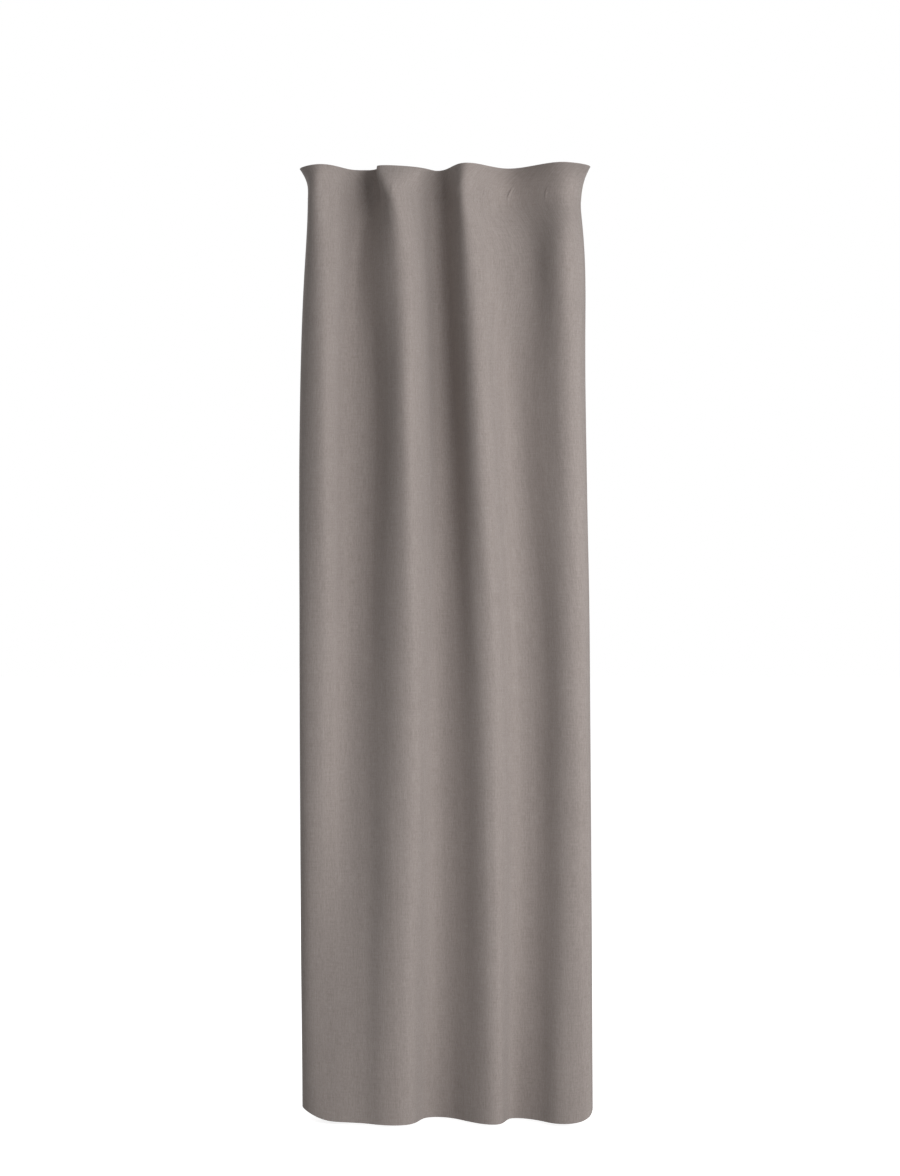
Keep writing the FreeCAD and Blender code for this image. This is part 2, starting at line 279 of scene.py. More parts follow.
def threadWave(tree, along, count):
    # a sine wave that turns once for every two threads, with count threads to the metre
    return calc(tree, "SINE", times(tree, along, times(tree, count, math.pi)))


def shades(tree, factor, dark, light):
    # a colour between two, by a factor
    made = node(tree, "ShaderNodeMix", {"data_type": "RGBA"})
    for value, place in ((factor, 0), (dark, 6), (light, 7)):
        wire(tree, value, made.inputs[place])
    return made.outputs[2]


def patternGroup(name, values, outputs):
    # a node group that takes a vector and some numbers
    group = bpy.data.node_groups.new(name, "ShaderNodeTree")
    group.interface.new_socket("Vector", in_out="INPUT", socket_type="NodeSocketVector")
    for label, value in values.items():
        socket = group.interface.new_socket(label, in_out="INPUT", socket_type="NodeSocketFloat")
        socket.default_value = value
    for label in outputs:
        group.interface.new_socket(label, in_out="OUTPUT", socket_type="NodeSocketFloat")
    return group, group.nodes.new("NodeGroupInput").outputs, group.nodes.new("NodeGroupOutput").inputs


# stretch across and down, detail, roughness and share of each unevenness in the threads
slubs = {
    "warp": ((420, 26, 1), 2.0, 0.5, 0.34),
    "weft": ((22, 700, 1), 3.0, 0.6, 0.30),
    "grain": ((330, 120, 1), 2.0, 0.6, 0.36),
    "bands": ((55, 0.7, 1), 3.0, 0.55, 1.0),
}


def makePlainWeave():
    # threads over and under each other, by distances in metres along the cloth
    group, given, made = patternGroup("plainWeave", {"Warp Threads": 2200.0, "Weft Threads": 2000.0},
                                      ["Height", "Slubs", "Bands"])
    along = node(group, "ShaderNodeSeparateXYZ", Vector=given["Vector"]).outputs
    across = threadWave(group, along[0], given["Warp Threads"])
    down = threadWave(group, along[1], given["Weft Threads"])
    over = added(group, times(group, across, down), 0.5, 0.5)
    warp = times(group, calc(group, "ABSOLUTE", across), over)
    weft = times(group, calc(group, "ABSOLUTE", down), calc(group, "SUBTRACT", 1.0, over))
    wire(group, calc(group, "MAXIMUM", warp, weft), made["Height"])
    uneven = {}
    for name, (scale, detail, roughness, share) in slubs.items():
        vector = node(group, "ShaderNodeMapping", Vector=given["Vector"], Scale=scale).outputs[0]
        uneven[name] = times(group, noise(group, vector, 1.0, detail, roughness), share)
    threads = calc(group, "ADD", uneven["warp"], uneven["weft"])
    wire(group, calc(group, "ADD", threads, uneven["grain"]), made["Slubs"])
    wire(group, uneven["bands"], made["Bands"])
    return group


def makeLint():
    # a faint unevenness over larger patches, and small specks of lint
    group, given, made = patternGroup("lint", {"Patch Scale": 9.0, "Speck Scale": 420.0},
                                      ["Patches", "Specks"])
    wire(group, noise(group, given["Vector"], given["Patch Scale"], 4.0, 0.6), made["Patches"])
    speck = noise(group, given["Vector"], given["Speck Scale"], 1.0, 0.4)
    peaks = times(group, calc(group, "SUBTRACT", speck, 0.66), 9.0)
    wire(group, calc(group, "SMOOTH_MIN", peaks, 1.0, 0.1), made["Specks"])
    return group


def makeTwist():
    # plies laid slantwise round a thread or cord
    group, given, made = patternGroup("twist", {"Plies": 1500.0, "Slant": 1.0}, ["Height"])
    along = node(group, "ShaderNodeSeparateXYZ", Vector=given["Vector"]).outputs
    slanted = added(group, along[1], given["Slant"], along[0])
    wire(group, calc(group, "ABSOLUTE", threadWave(group, slanted, given["Plies"])), made["Height"])
    return group


plainWeave, lint, twist = makePlainWeave(), makeLint(), makeTwist()


def placed(tree, group, **values):
    return node(tree, "ShaderNodeGroup", {"node_tree": group}, **values).outputs


def woven(tree, cut, finish):
    return placed(tree, plainWeave, Vector=cut, Warp_Threads=finish["warp"], Weft_Threads=finish["weft"])


def material(name, sockets):
    # a new material with its constants on the shader's own sockets
    made = bpy.data.materials.new(name)
    made.use_nodes = True
    shader = made.node_tree.nodes["Principled BSDF"]
    for label, value in sockets.items():
        shader.inputs[label].default_value = value
    return made, made.node_tree, shader.inputs


def bump(tree, height, distance, strength, under=None):
    made = node(tree, "ShaderNodeBump", Strength=strength, Distance=distance, Height=height)
    if under is not None:
        wire(tree, under, made.inputs["Normal"])
    return made.outputs[0]


def textile(name, finish):
    # a new textile, whose patterns follow its cloth's map
    sheen, sheenRoughness, level, ior = finish["gloss"]
    made, tree, shader = material(name, {"Sheen Weight": sheen, "Sheen Roughness": sheenRoughness,
                                         "Specular IOR Level": level, "IOR": ior})
    return made, tree, shader, node(tree, "ShaderNodeUVMap", {"uv_map": "cut"}).outputs[0]


# gloss is the sheen's weight and roughness, the specular level and the IOR;
# contrast is each pattern's share of the tone, and what is taken off to keep the tone's middle; slubs,
# bands and patches are the cloth's own uneven colour, and the weave's height is painted shade between the
# threads
clothFinish = {"dark": (0.262, 0.224, 0.207, 1), "light": (0.382, 0.335, 0.314, 1),
               "lint": (0.50, 0.46, 0.43, 1), "warp": 2300.0, "weft": 1900.0,
               "gloss": (0.10, 0.75, 0.18, 1.45), "relief": 0.00016, "slubRelief": 0.00045,
               "contrast": {"Slubs": (3.0, 1.12), "Bands": (0.42, 0.21), "Patches": (0.30, 0.15),
                            "Height": (0.30, 0.16)}}


def makeTaupeCloth():
    made, tree, shader, cut = textile("taupeCloth", clothFinish)
    weave = woven(tree, cut, clothFinish)
    patches = placed(tree, lint, Vector=cut, Patch_Scale=7.0, Speck_Scale=520.0)
    tone = 0.0
    # the tone is the cloth's own slubs, bands and patches, with painted shade where the weave's height is
    # low between the threads
    for label, (share, middle) in clothFinish["contrast"].items():
        pattern = (patches if label == "Patches" else weave)[label]
        tone = added(tree, pattern, share, calc(tree, "SUBTRACT", tone, middle))
    tone = calc(tree, "MINIMUM", calc(tree, "MAXIMUM", tone, 0.0), 1.0)
    colour = shades(tree, tone, clothFinish["dark"], clothFinish["light"])
    specks = times(tree, calc(tree, "MAXIMUM", patches["Specks"], 0.0), 0.25)
    wire(tree, shades(tree, specks, colour, clothFinish["lint"]), shader["Base Color"])
    wire(tree, added(tree, weave["Slubs"], -0.12, 0.95), shader["Roughness"])
    coarse = bump(tree, weave["Slubs"], clothFinish["slubRelief"], 0.8)
    wire(tree, bump(tree, weave["Height"], clothFinish["relief"], 0.7, coarse), shader["Normal"])
    return made


tapeFinish = {"dark": (0.60, 0.565, 0.50, 1), "light": (0.80, 0.775, 0.715, 1),
              "soil": (0.42, 0.38, 0.32, 1), "gloss": (0.15, 0.5, 0.3, 1.45),
              "warp": 1150.0, "weft": 800.0, "relief": 0.00032}


def makeWovenTape():
    made, tree, shader, cut = textile("wovenTape", tapeFinish)
    weave = woven(tree, cut, tapeFinish)
    patches = placed(tree, lint, Vector=cut, Patch_Scale=26.0, Speck_Scale=600.0)
    # the weave's height gives painted shade between the tape's threads; the slubs are the tape's own uneven
    # colour
    tone = added(tree, weave["Height"], 0.55, times(tree, weave["Slubs"], 0.55))
    colour = shades(tree, tone, tapeFinish["dark"], tapeFinish["light"])
    worst = calc(tree, "SUBTRACT", patches["Patches"], 0.52)
    soil = times(tree, calc(tree, "MAXIMUM", worst, 0.0), 0.9)
    wire(tree, shades(tree, soil, colour, tapeFinish["soil"]), shader["Base Color"])
    wire(tree, added(tree, patches["Patches"], 0.2, 0.70), shader["Roughness"])
    wire(tree, bump(tree, weave["Height"], tapeFinish["relief"], 0.9), shader["Normal"])
    return made


def dressed(tree, shader, finish, pattern, patches, height):
    # the tone, roughness and relief of a small textile, from its own pattern and its patches; where the
    # pattern is a height, its tone is painted shade in the hollows
    tone = added(tree, pattern, finish["contrast"], times(tree, patches, finish["patchy"]))
    wire(tree, shades(tree, tone, finish["dark"], finish["light"]), shader["Base Color"])
    wire(tree, added(tree, patches, finish["roughSpread"], finish["rough"]), shader["Roughness"])
    wire(tree, bump(tree, height, finish["relief"], finish["bump"]), shader["Normal"])


threadFinish = {"dark": (0.17, 0.145, 0.13, 1), "light": (0.36, 0.315, 0.29, 1), "plies": 2600.0,
                "gloss": (0.2, 0.4, 0.4, 1.5), "contrast": 0.7, "patchy": 0.35,
                "rough": 0.45, "roughSpread": 0.25, "relief": 0.0001, "bump": 0.8}


def makeTaupeThread():
    made, tree, shader, cut = textile("taupeThread", threadFinish)
    plies = placed(tree, twist, Vector=cut, Plies=threadFinish["plies"], Slant=1.2)["Height"]
    patches = placed(tree, lint, Vector=cut, Patch_Scale=90.0, Speck_Scale=900.0)["Patches"]
    # the plies' height sets the tone as well as the relief: painted shade in the grooves between the plies
    dressed(tree, shader, threadFinish, plies, patches, plies)
    return made


cordFinish = {"dark": (0.55, 0.53, 0.48, 1), "light": (0.86, 0.84, 0.79, 1), "plies": 900.0,
              "gloss": (0.2, 0.4, 0.35, 1.5), "contrast": 0.7, "patchy": 0.4,
              "rough": 0.5, "roughSpread": 0.25, "relief": 0.0003, "bump": 0.9}


def makeBraidedCord():
    made, tree, shader, cut = textile("braidedCord", cordFinish)
    left, right = (placed(tree, twist, Vector=cut, Plies=cordFinish["plies"], Slant=slant)["Height"]
                   for slant in (1.0, -1.0))
    braid = times(tree, left, right)
    soil = placed(tree, lint, Vector=cut, Patch_Scale=30.0, Speck_Scale=700.0)["Patches"]
    # the braid's height sets the tone as well as the relief: painted shade in the grooves of the braid
    dressed(tree, shader, cordFinish, braid, soil, braid)
    return made


ribbonFinish = {"dark": (0.70, 0.70, 0.68, 1), "light": (0.90, 0.90, 0.88, 1),
                "gloss": (0.1, 0.3, 0.6, 1.5), "anisotropic": 0.4,
                "warp": 3600.0, "weft": 2600.0, "contrast": 0.8, "patchy": 0.3,
                "rough": 0.22, "roughSpread": 0.3, "relief": 0.00005, "bump": 0.5}


def makeSatinRibbon():
    made, tree, shader, cut = textile("satinRibbon", ribbonFinish)
    shader["Anisotropic"].default_value = ribbonFinish["anisotropic"]
    weave = woven(tree, cut, ribbonFinish)
    patches = placed(tree, lint, Vector=cut, Patch_Scale=60.0, Speck_Scale=500.0)["Patches"]
    dressed(tree, shader, ribbonFinish, weave["Slubs"], patches, weave["Height"])
    return made


plasticFinish = {"fresh": (0.83, 0.83, 0.80, 1), "aged": (0.72, 0.70, 0.61, 1),
                 "scuff": (0.62, 0.61, 0.57, 1)}


def makeHookPlastic():
    made, tree, shader = material("hookPlastic", {
        "Specular IOR Level": 0.5, "IOR": 1.49, "Coat Roughness": 0.2})
    here = node(tree, "ShaderNodeTexCoord").outputs["Object"]
    aged = placed(tree, lint, Vector=here, Patch_Scale=45.0, Speck_Scale=900.0)
    fine = placed(tree, lint, Vector=here, Patch_Scale=700.0, Speck_Scale=2400.0)
    colour = shades(tree, aged["Patches"], plasticFinish["fresh"], plasticFinish["aged"])
    scuffs = calc(tree, "MAXIMUM", fine["Specks"], 0.0)
    colour = shades(tree, times(tree, scuffs, 0.5), colour, plasticFinish["scuff"])
    wire(tree, colour, shader["Base Color"])
    wire(tree, added(tree, scuffs, 0.3, added(tree, fine["Patches"], 0.15, 0.26)), shader["Roughness"])
    wire(tree, times(tree, aged["Patches"], 0.25), shader["Coat Weight"])
    wire(tree, bump(tree, fine["Patches"], 0.00004, 0.6), shader["Normal"])
    return made


taupeCloth, wovenTape, taupeThread = makeTaupeCloth(), makeWovenTape(), makeTaupeThread()
braidedCord, satinRibbon, hookPlastic = makeBraidedCord(), makeSatinRibbon(), makeHookPlastic()
print("materials made")

# the drape, as points and directions that every sewn piece follows;
# it has small slow ripples, none of them in the stiff heading
ripples = {"count": 26, "height": 0.0011, "shortest": 0.07, "longest": 0.30, "upright": 6.0,
           "from": 0.11, "full": 0.45, "seed": 7}
masterColumns, masterRows = 641, 1001
master = drapedGrid(masterColumns, masterRows)


def facesBehind(grid):
    # the direction out of the cloth's rear face at every point of the grid
    out = np.cross(np.gradient(grid, axis=0), np.gradient(grid, axis=1))
    out /= np.linalg.norm(out, axis=2, keepdims=True)
    return out if out[masterRows // 2, masterColumns // 2, 1] > 0 else -out


def eased(value, start, end):
    # 0 before start and 1 after end, with a soft step between them
    t = np.clip((value - start) / (end - start), 0, 1)
    return t * t * (3 - 2 * t)


def rippled(grid):
    dice = random.Random(ripples["seed"])
    u = np.linspace(0, cloth["width"], masterColumns)[None, :]
    v = np.linspace(0, drape["drop"], masterRows)[:, None]
    height = np.zeros((masterRows, masterColumns))
    for i in range(ripples["count"]):
        wave = dice.uniform(ripples["shortest"], ripples["longest"])
        slant = dice.uniform(-1, 1) / (wave * ripples["upright"])
        start = dice.uniform(0, 2 * math.pi)
        height += np.sin(2 * math.pi * (u / wave + v * slant) + start) * math.sqrt(wave)
    height *= ripples["height"] / height.std() / 2
    return grid + facesBehind(grid) * (height * eased(v, ripples["from"], ripples["full"]))[..., None]


# at the very top the second fold leans over the trough beside it
lean = {"reach": 0.026, "from": -0.190, "peak": -0.150, "to": -0.050, "gone": 0.105,
        "forwardFrom": 0.20, "forwardFull": 0.75}


def leaning(grid):
    x, forward = grid[..., 0], (-grid[..., 1] - drape["hookFace"]) / drape["foldDepth"]
    down = np.linspace(0, drape["drop"], masterRows)[:, None]
    share = eased(x, lean["from"], lean["peak"]) * eased(x, lean["to"], lean["peak"])
    share = share * eased(forward, lean["forwardFrom"], lean["forwardFull"])
    out = grid.copy()
    out[..., 0] -= lean["reach"] * share * eased(down, lean["gone"], 0.0)
    return out


master = rippled(leaning(master))
behind = facesBehind(master)
sideways = np.gradient(master, axis=1)
sideways /= np.linalg.norm(sideways, axis=2, keepdims=True)


def onCloth(across, down, lift=0.0):
    # points at a distance across the cloth from its left edge and down from its top, and lift behind it
    across, down, lift = np.broadcast_arrays(np.asarray(across, float), np.asarray(down, float), lift)
    c = np.clip(across / cloth["width"], 0, 1) * (masterColumns - 1)
    r = np.clip(down / drape["drop"], 0, 1) * (masterRows - 1)
    i, j = np.minimum(r.astype(int), masterRows - 2), np.minimum(c.astype(int), masterColumns - 2)
    s, t = (r - i)[..., None], (c - j)[..., None]

    def mixed(field):
        return ((field[i, j] * (1 - s) + field[i + 1, j] * s) * (1 - t)
                + (field[i, j + 1] * (1 - s) + field[i + 1, j + 1] * s) * t)

    past = across - np.clip(across, 0, cloth["width"])  # a little way past a side edge is straight on
    return mixed(master) + mixed(behind) * lift[..., None] + mixed(sideways) * past[..., None]


def acrossAt(x, down, within=0.0012, pick=np.argmax):
    # the distance across the cloth where its rearmost turns, or with argmin its foremost, stand at x
    steps = 2500
    row = onCloth(np.linspace(0, cloth["width"], steps + 1), down)
    near = np.where(np.abs(row[:, 0] - x) < within)[0]
    return near[pick(row[near, 1])] / steps * cloth["width"]


def span(start, end, step):
    # even steps from start to end, without the end
    return list(np.linspace(start, end, max(1, round((end - start) / step)), endpoint=False))


# what the pieces are made with
def pickOnly(piece):
    bpy.ops.object.select_all(action="DESELECT")
    piece.select_set(True)
    bpy.context.view_layer.objects.active = piece


def edit(select=True):
    bpy.ops.object.mode_set(mode="EDIT")
    if select:
        bpy.ops.mesh.select_all(action="SELECT")


def finishEdit():
    bpy.ops.object.mode_set(mode="OBJECT")


def pointsOf(mesh):
    spots = np.zeros(len(mesh.vertices) * 3)
    mesh.vertices.foreach_get("co", spots)
    return spots.reshape(-1, 3)


def movePoints(piece, points):
    piece.data.vertices.foreach_set("co", np.asarray(points, float).ravel())


def smoothed(piece, angle=None):
    pickOnly(piece)
    if angle is None:
        bpy.ops.object.shade_smooth()
    else:
        bpy.ops.object.shade_smooth_by_angle(angle=math.radians(angle))


def clothed(sheet, thickness, finish):
    # gives a sheet its thickness and its cloth
    made = sheet.modifiers.new("thickness", "SOLIDIFY")
    made.thickness, made.offset = thickness, 0
    smoothed(sheet)
    sheet.data.materials.append(finish)


def mapCut(mesh, flat):
    # the UV map of a piece: metres across and down its cloth
    layer = mesh.uv_layers.new(name="cut")
    corner = np.zeros(len(mesh.loops), int)
    mesh.loops.foreach_get("vertex_index", corner)
    layer.data.foreach_set("uv", flat[corner].astype(np.float32).ravel())


def newPiece(name, points, faces, flat, finish, angle):
    mesh = bpy.data.meshes.new(name)
    mesh.from_pydata(np.concatenate(points).tolist(), [], faces)
    mapCut(mesh, flat)
    mesh.materials.append(finish)
    piece = bpy.data.objects.new(name, mesh)
    scene.collection.objects.link(piece)
    smoothed(piece, angle)
    return piece


def flatSheet(name, acrossLines, downLines):
    # a sheet with a grid line at each distance; its points' places on the flat cloth come back with it
    columns, rows = len(acrossLines) - 1, len(downLines) - 1
    bpy.ops.object.select_all(action="DESELECT")
    bpy.ops.mesh.primitive_grid_add(x_subdivisions=columns, y_subdivisions=rows, size=2, calc_uvs=False)
    sheet = bpy.context.object
    sheet.name = sheet.data.name = name
    spots = pointsOf(sheet.data)
    i = np.rint((spots[:, 0] + 1) / 2 * columns).astype(int)
    j = np.rint((1 - spots[:, 1]) / 2 * rows).astype(int)
    flat = np.stack([np.array(acrossLines)[i], np.array(downLines)[j]], 1)
    mapCut(sheet.data, flat)
    return sheet, flat


def hang(sheet, points):
    movePoints(sheet, points)
    sheet.data.update()
    sheet.data.validate()


def cutAway(sheet, flat, gone):
    # deletes the faces whose middle on the flat cloth is in a part that is cut away
    pickOnly(sheet)
    bpy.context.tool_settings.mesh_select_mode = (False, False, True)
    for part in (sheet.data.vertices, sheet.data.edges):
        part.foreach_set("select", [False] * len(part))
    middles = [flat[list(face.vertices)].mean(axis=0) for face in sheet.data.polygons]
    sheet.data.polygons.foreach_set("select", [bool(gone(across, down)) for across, down in middles])
    edit(select=False)
    bpy.ops.mesh.delete(type="FACE")
    finishEdit()


hems = {"side": 0.028, "bottom": 0.085, "heading": 0.080, "under": 0.010, "sideTop": 0.086,
        "fold": 0.00075, "headingFold": 0.0005, "cornerFold": 0.00145, "tuck": 0.00035, "middle": -0.0005,
        "thinAt": 0.050, "thickAt": 0.032, "cornerCut": 0.0018}
# x, down and height of each small pucker in the heading
puckers = {"width": 0.0025, "length": 0.011, "places": [
    (-0.276, 0.076, 0.0052), (0.100, 0.072, 0.0062), (0.170, 0.060, 0.0056), (0.030, 0.073, 0.0022),
    (-0.140, 0.072, 0.0016), (0.262, 0.068, 0.0016)]}


def turnedEdge(past, depth, fold, tuck):
    # how far in from a turned edge, and how far behind, the cloth is at a distance past the edge's line:
    # round the fold, back over the cloth as far as depth, then tucked under itself
    half = math.pi * fold / 2
    straight = depth - tuck - fold
    round1 = np.clip((past + half) / fold, 0, math.pi)
    round2 = np.clip((past - half - straight) / tuck, 0, math.pi)
    inward = (np.clip(-past - half, 0, None) + fold * (1 - np.sin(round1))
              + np.clip(past - half, 0, straight) + tuck * np.sin(round2)
              - np.clip(past - half - straight - math.pi * tuck, 0, None))
    return inward, fold * (1 - np.cos(round1)) - tuck * (1 - np.cos(round2))


def bottomFold(across):
    # the bottom hem is thicker where it goes over the side hems
    thick = eased(np.minimum(across, cloth["width"] - across), hems["thinAt"], hems["thickAt"])
    return hems["fold"] + (hems["cornerFold"] - hems["fold"]) * thick


def sewn(flat):
    # where each point of the flat cloth hangs, with its edges turned
    across, down = flat[:, 0].copy(), flat[:, 1].copy()
    lift = np.full(len(flat), hems["middle"])
    for side in (0, 1):
        past = flat[:, 0] - cloth["width"] if side else -flat[:, 0]
        inward, raised = turnedEdge(past, hems["side"], hems["fold"], hems["tuck"])
        part = past > -cloth["width"] / 2
        across[part] = (cloth["width"] - inward if side else inward)[part]
        lift[part] += raised[part]
    part = flat[:, 1] > drape["drop"] / 2
    past = flat[:, 1] - drape["drop"]
    inward, raised = turnedEdge(past, hems["bottom"], bottomFold(across), hems["tuck"])
    down[part] = (drape["drop"] - inward)[part]
    lift[part] += raised[part]
    inward, raised = turnedEdge(-flat[:, 1], 1.0, hems["headingFold"], hems["tuck"])
    down[~part] = inward[~part]
    lift[~part] += raised[~part]
    for x, middle, height in puckers["places"]:
        aside, below = (across - puckerAcross[x]) / puckers["width"], (down - middle) / puckers["length"]
        lift -= height * np.exp(-aside ** 2 - below ** 2) * (flat[:, 1] > 0)
    return onCloth(across, down, lift)


puckerAcross = {x: acrossAt(x, down, 0.0015, np.argmin) for x, down, height in puckers["places"]}

# how close the cloth's grid lines are: most of them, round a fold, where a hem is tucked, over a pucker;
# and down the cloth, from each distance below the top edge on
clothGrid = {"step": 0.0064, "fold": 0.0004, "bottomFold": 0.0006, "pucker": 0.0020, "hemStep": 0.0060,
             "tucks": (-0.0006, -0.0002, 0.0002, 0.0006),
             "bottomTucks": (-0.0008, -0.0002, 0.0004, 0.0010, 0.0050),
             "down": ((0.0040, 0.0059), (0.0860, 0.0075), (0.130, 0.013), (0.300, 0.0245), (2.380, 0.012))}


def makeCurtainCloth():
    width, drop = cloth["width"], drape["drop"]
    edge = [-0.0020] + [clothGrid["fold"] * i for i in range(-3, 4)] + [0.0020]
    hemLine = hems["side"] + 0.57 * hems["fold"]
    outside = span(0.0030, hemLine - 0.0008, clothGrid["hemStep"])
    outside += [hemLine + q for q in clothGrid["tucks"]] + [hemLine + 0.0045, hemLine + hems["under"]]
    middle = span(0.0032, width - 0.0030, clothGrid["step"])
    for near in puckerAcross.values():
        middle = [m for m in middle if abs(m - near) > 0.0065]
        middle += [near + clothGrid["pucker"] * i for i in range(-3, 4)]
    acrossLines = sorted([-q for q in outside] + edge + middle + [width - q for q in edge]
                         + [width + q for q in outside])
    bottomLine = hems["bottom"] + 0.57 * hems["fold"]
    past = [clothGrid["bottomFold"] * i for i in range(-4, 5)] + span(0.0034, bottomLine - 0.0012, 0.012)
    past += [bottomLine + q for q in clothGrid["bottomTucks"]] + [bottomLine + hems["under"]]
    downLines = [-q for q in span(0.0030, hems["heading"], 0.013)] + [-hems["heading"]] + edge
    starts = [start for start, step in clothGrid["down"]] + [drop - 0.0032]
    for (start, step), end in zip(clothGrid["down"], starts[1:]):
        downLines += span(start, end, step)
    downLines = sorted(downLines + [drop + q for q in past])
    sheet, flat = flatSheet("curtainCloth", acrossLines, downLines)
    hang(sheet, sewn(flat))
    cutAway(sheet, flat, lambda across, down: (across < -0.0001 or across > width + 0.0001)
            and (down < hems["sideTop"] or down > drop - hems["cornerCut"]))
    clothed(sheet, cloth["thickness"], taupeCloth)
    print("curtain cloth hung:", len(acrossLines), "by", len(downLines), "lines")
    return sheet, (acrossLines[-1] - acrossLines[0], downLines[-1] - downLines[0])


# the tape's ends go round the side edges, because the outer hooks stand on the ends that are turned back
tape = {"top": 0.010, "bottom": 0.085, "return": 0.062, "turn": 0.0003, "thickness": 0.0006,
        "lift": 0.0011, "outside": -0.00105, "step": 0.0062, "rows": 13, "pressed": 0.16, "edge": 0.004}


def tapePath(along, length):
    # across and lift at a distance along the tape, which starts and ends on the outside
    near = np.minimum(along, length - along) - tape["return"]
    fold = (tape["lift"] - tape["outside"]) / 2
    angle = np.clip(near / fold, 0, math.pi)
    across = tape["turn"] + np.clip(-near, 0, None) - fold * np.sin(angle)
    across += np.clip(near - math.pi * fold, 0, None)
    lift = (tape["lift"] + tape["outside"]) / 2 - fold * np.cos(angle)
    return np.where(along * 2 < length, across, cloth["width"] - across), lift


def makeHeadingTape():
    half = math.pi * (tape["lift"] - tape["outside"]) / 2
    turned = tape["return"] + half
    length = cloth["width"] - 2 * tape["turn"] + 2 * turned
    end = span(0, tape["return"], tape["step"]) + span(tape["return"], turned, half / 8)
    acrossLines = end + span(turned, length - turned, tape["step"])
    acrossLines += [length - turned] + [length - q for q in reversed(end)]
    downLines = np.linspace(tape["top"], tape["bottom"], tape["rows"])
    sheet, flat = flatSheet("headingTape", acrossLines, downLines)
    across, lift = tapePath(flat[:, 0], length)
    edge = np.minimum(flat[:, 1] - tape["top"], tape["bottom"] - flat[:, 1])
    lift = lift * (1 - tape["pressed"] * np.clip(1 - edge / tape["edge"], 0, 1))  # sewn down at its edges
    hang(sheet, onCloth(across, flat[:, 1], lift))
    clothed(sheet, tape["thickness"], wovenTape)
    print("heading tape sewn on")
    return sheet, (acrossLines[-1] - acrossLines[0], tape["bottom"] - tape["top"])


def sewOn(name, shapes, finish):
    # copies of small shapes laid on the cloth: a shape's own x runs across, y down and z out behind it;
    # each shape comes with its places, as across, down, lift and whether it is turned
    points, faces, flats, count = [], [], [], 0
    for pattern, places in shapes:
        own = pointsOf(pattern.data)
        corners = [tuple(face.vertices) for face in pattern.data.polygons]
        for across, down, lift, turned in places:
            local = own[:, [1, 0, 2]] if turned else own
            flat = local[:, :2] + (across, down)
            points.append(onCloth(flat[:, 0], flat[:, 1], local[:, 2] * (1 if lift > 0 else -1) + lift))
            flats.append(flat)
            flip = turned != (lift < 0)
            faces += [tuple(count + v for v in (corner[::-1] if flip else corner)) for corner in corners]
            count += len(own)
    return newPiece(name, points, faces, np.concatenate(flats), finish, 50)


def setAside(piece):
    # takes a pattern out of the scene when its copies are made
    mesh = piece.data
    bpy.data.objects.remove(piece)
    bpy.data.meshes.remove(mesh)


def stitchPattern(length):
    # one stitch: a short length of round thread with both ends drawn down into the cloth
    bpy.ops.object.select_all(action="DESELECT")
    bpy.ops.mesh.primitive_cylinder_add(vertices=6, radius=0.5, depth=1, end_fill_type="NGON",
                                        rotation=(0, math.pi / 2, 0))
    bpy.ops.object.transform_apply(rotation=True)
    edit()
    for cut in (-0.28, 0.0, 0.28):
        bpy.ops.mesh.bisect(plane_co=(cut, 0, 0), plane_no=(1, 0, 0))
        bpy.ops.mesh.select_all(action="SELECT")
    finishEdit()
    piece = bpy.context.object
    spots = pointsOf(piece.data)
    ends, height = np.clip(np.abs(spots[:, 0]) * 2, 0, 1) ** 3, stitches["height"]
    spots[:, 1] *= stitches["width"] * (1 - 0.35 * ends)
    spots[:, 2] = spots[:, 2] * height * (1 - 0.3 * ends) + height * (0.32 - 0.75 * ends)
    spots[:, 0] *= length
    movePoints(piece, spots)
    return piece


stitches = {"length": 0.0031, "width": 0.00055, "height": 0.00042, "pitch": 0.0040, "inset": 0.0025,
            "hemPitch": 0.0052, "hemLength": 0.0040, "sunk": 0.0001}


def makeStitches():
    tapePattern, hemPattern = stitchPattern(stitches["length"]), stitchPattern(stitches["hemLength"])
    width, pitch, inset = cloth["width"], stitches["pitch"], stitches["inset"]
    made = {}

    def sew(name, pattern, rows):
        made[name] = sewOn(name, [(pattern, rows)], taupeThread)

    onTape = tape["lift"] + tape["thickness"] / 2 - stitches["sunk"]
    front = hems["middle"] - cloth["thickness"] / 2
    onReturn = tape["outside"] - tape["thickness"] / 2 + stitches["sunk"]
    for name, down in (("Upper", tape["top"] + inset), ("Lower", tape["bottom"] - inset)):
        rows = [(a, down, onTape, False) for a in span(0.008, width - 0.006, pitch)]
        rows += [(a, down, front if tape["return"] < a < width - tape["return"] else onReturn, False)
                 for a in span(0.006, width - 0.004, pitch)]
        if name == "Upper":  # and down the tape's two ends
            ends = (tape["return"] - inset, width - tape["return"] + inset)
            rows += [(a, d, onReturn, True) for a in ends
                     for d in span(tape["top"] + 0.004, tape["bottom"] - 0.003, pitch)]
        sew("tapeStitching" + name, tapePattern, rows)
    onHem = hems["middle"] + cloth["thickness"] / 2
    lowest = drape["drop"] - hems["bottom"]
    line, pitch = hems["side"] - inset, stitches["hemPitch"]
    for name, across in (("Left", line), ("Right", width - line)):
        sew("sideStitching" + name, hemPattern,
            [(across, d, onHem + 2 * hems["fold"], True) for d in span(0.090, lowest - 0.004, pitch)])
    sew("bottomHemStitching", hemPattern, [(a, lowest + inset, onHem + 2 * float(bottomFold(a)), False)
                                           for a in span(0.006, width - 0.004, pitch)])
    for pattern in (tapePattern, hemPattern):
        setAside(pattern)
    print("stitching done:", {name: len(piece.data.polygons) for name, piece in made.items()})
    return made


